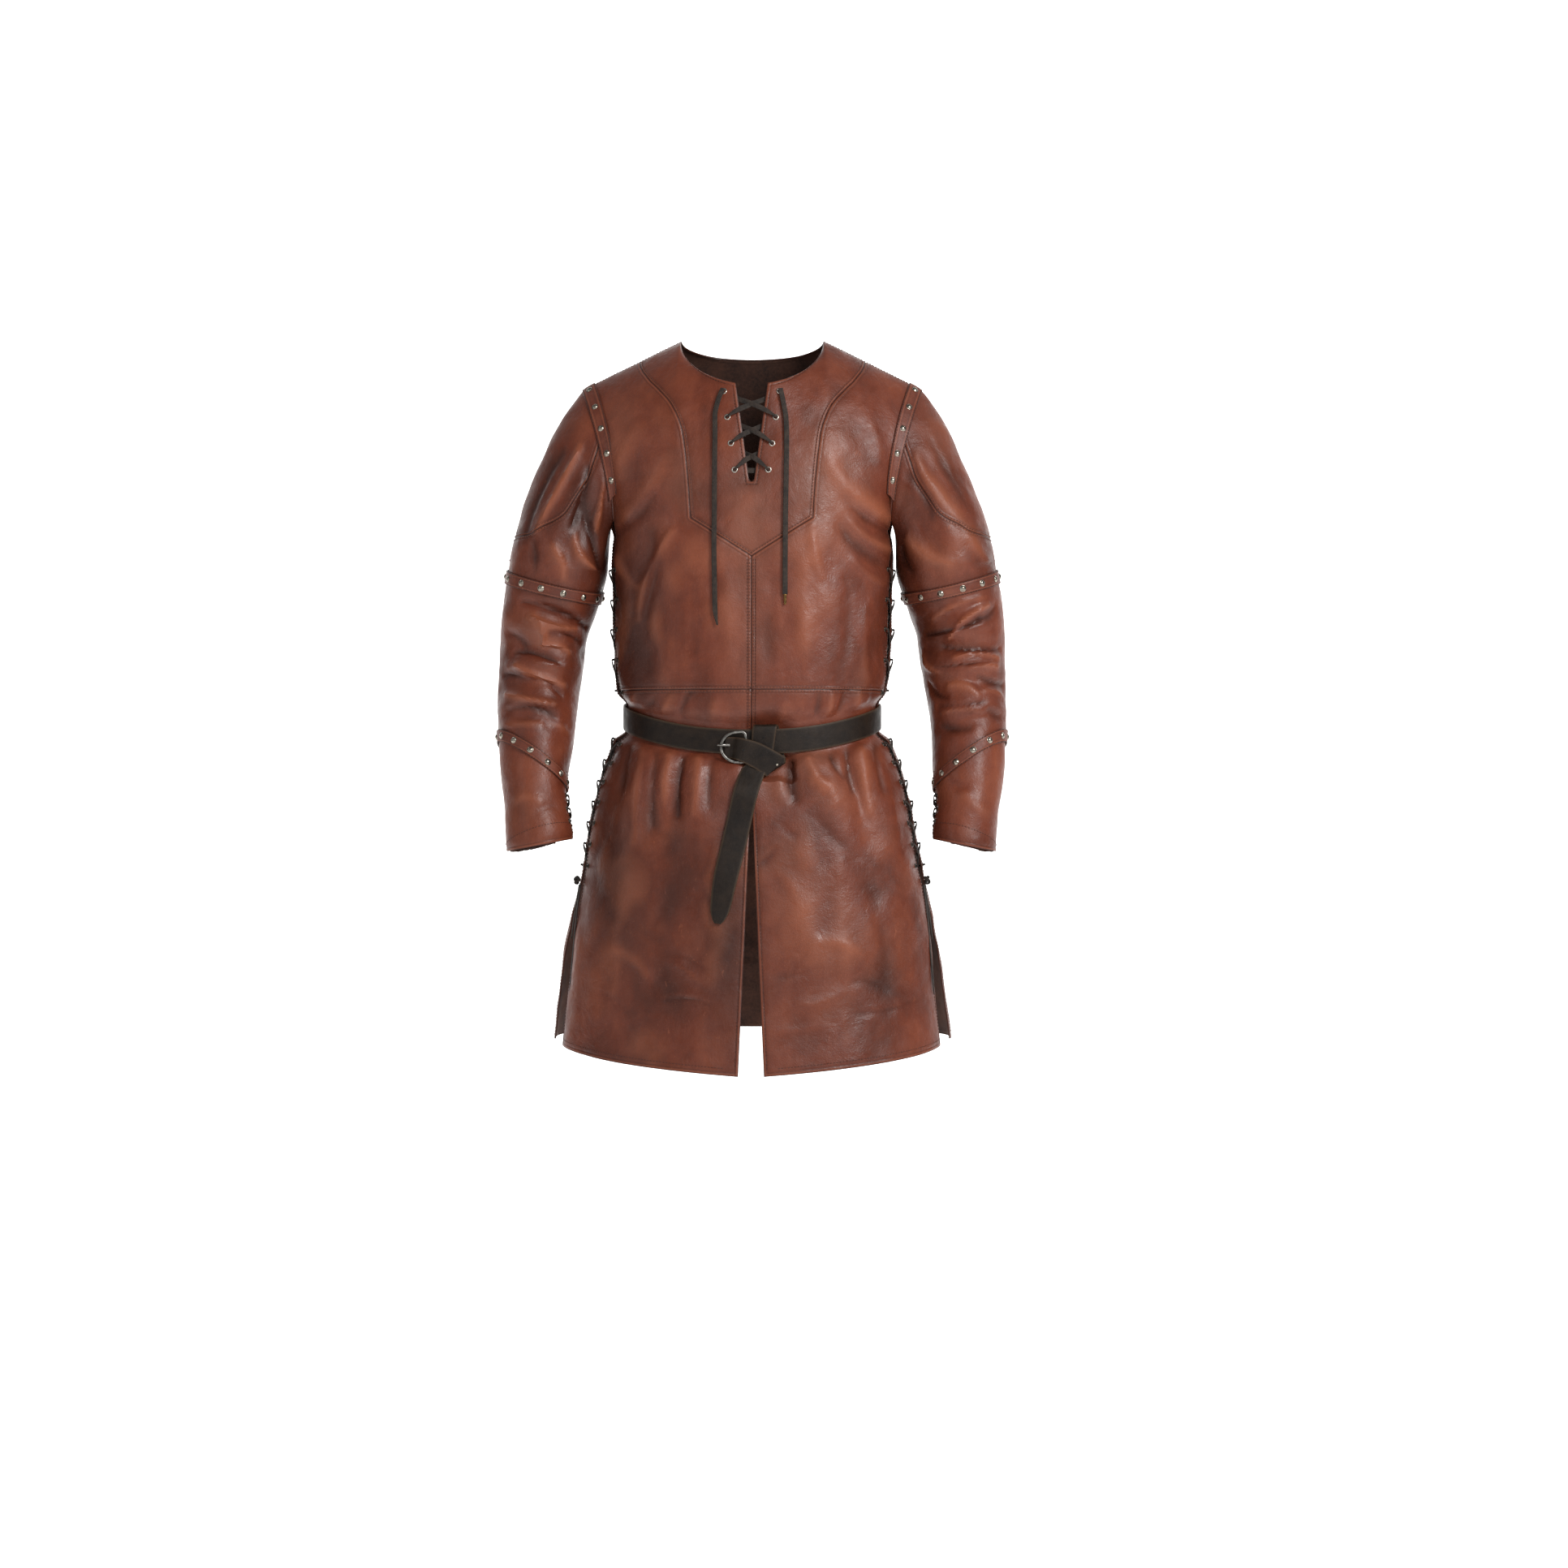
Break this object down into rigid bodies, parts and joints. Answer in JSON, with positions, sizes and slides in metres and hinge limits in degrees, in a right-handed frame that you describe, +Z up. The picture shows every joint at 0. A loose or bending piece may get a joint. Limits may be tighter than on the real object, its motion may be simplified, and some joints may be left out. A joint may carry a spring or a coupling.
{
  "type": "leather tunic",
  "caption": "Long-sleeved leather tunic with a pointed yoke, laced neck, sides and cuffs, studded bands, a split skirt and a knotted buckled belt, in its worn, hollow form.",
  "frame": {"origin": "middle of the neck opening, level with the two points where the shoulder seams meet the neckline, where the wearer's shoulders carry the tunic", "axes": "+Z up along the body, -Y out of the front, +X towards the wearer's left"},
  "size_m": [0.6756, 0.361, 0.9591],
  "materials": {
    "leather": "semi-gloss",
    "strap": "satin",
    "lace": "matt",
    "metal": "satin"
  },
  "bodies": {
    "root": {"armhole_band_left": "leather", "armhole_band_right": "leather", "back": "leather", "belt": "strap", "belt_tail": "strap", "bodice_lace_left": "lace", "bodice_lace_right": "lace", "buckle": "metal", "buckle_prong": "metal", "chest_left": "leather", "chest_right": "leather", "cuff_lace_left": "lace", "cuff_lace_right": "lace", "elbow_band_left": "leather", "elbow_band_right": "leather", "forearm_band_left": "leather", "forearm_band_right": "leather", "neck_eyelet_left_1": "metal", "neck_eyelet_left_2": "metal", "neck_eyelet_left_3": "metal", "neck_eyelet_left_4": "metal", "neck_eyelet_right_1": "metal", "neck_eyelet_right_2": "metal", "neck_eyelet_right_3": "metal", "neck_eyelet_right_4": "metal", "neck_lace": "lace", "neck_lace_aglet": "metal", "neck_lace_end_left": "lace", "neck_lace_end_right": "lace", "shoulder_cap_left": "leather", "shoulder_cap_right": "leather", "side_knot_left": "lace", "side_knot_right": "lace", "side_lace_end_1_left": "lace", "side_lace_end_1_right": "lace", "side_lace_end_2_left": "lace", "side_lace_end_2_right": "lace", "skirt_back": "leather", "skirt_front_left": "leather", "skirt_front_right": "leather", "skirt_lace_left": "lace", "skirt_lace_right": "lace", "sleeve_cuff_left": "leather", "sleeve_cuff_right": "leather", "sleeve_lower_left": "leather", "sleeve_lower_right": "leather", "sleeve_upper_left": "leather", "sleeve_upper_right": "leather", "yoke": "leather"}
  },
  "joints": []
}
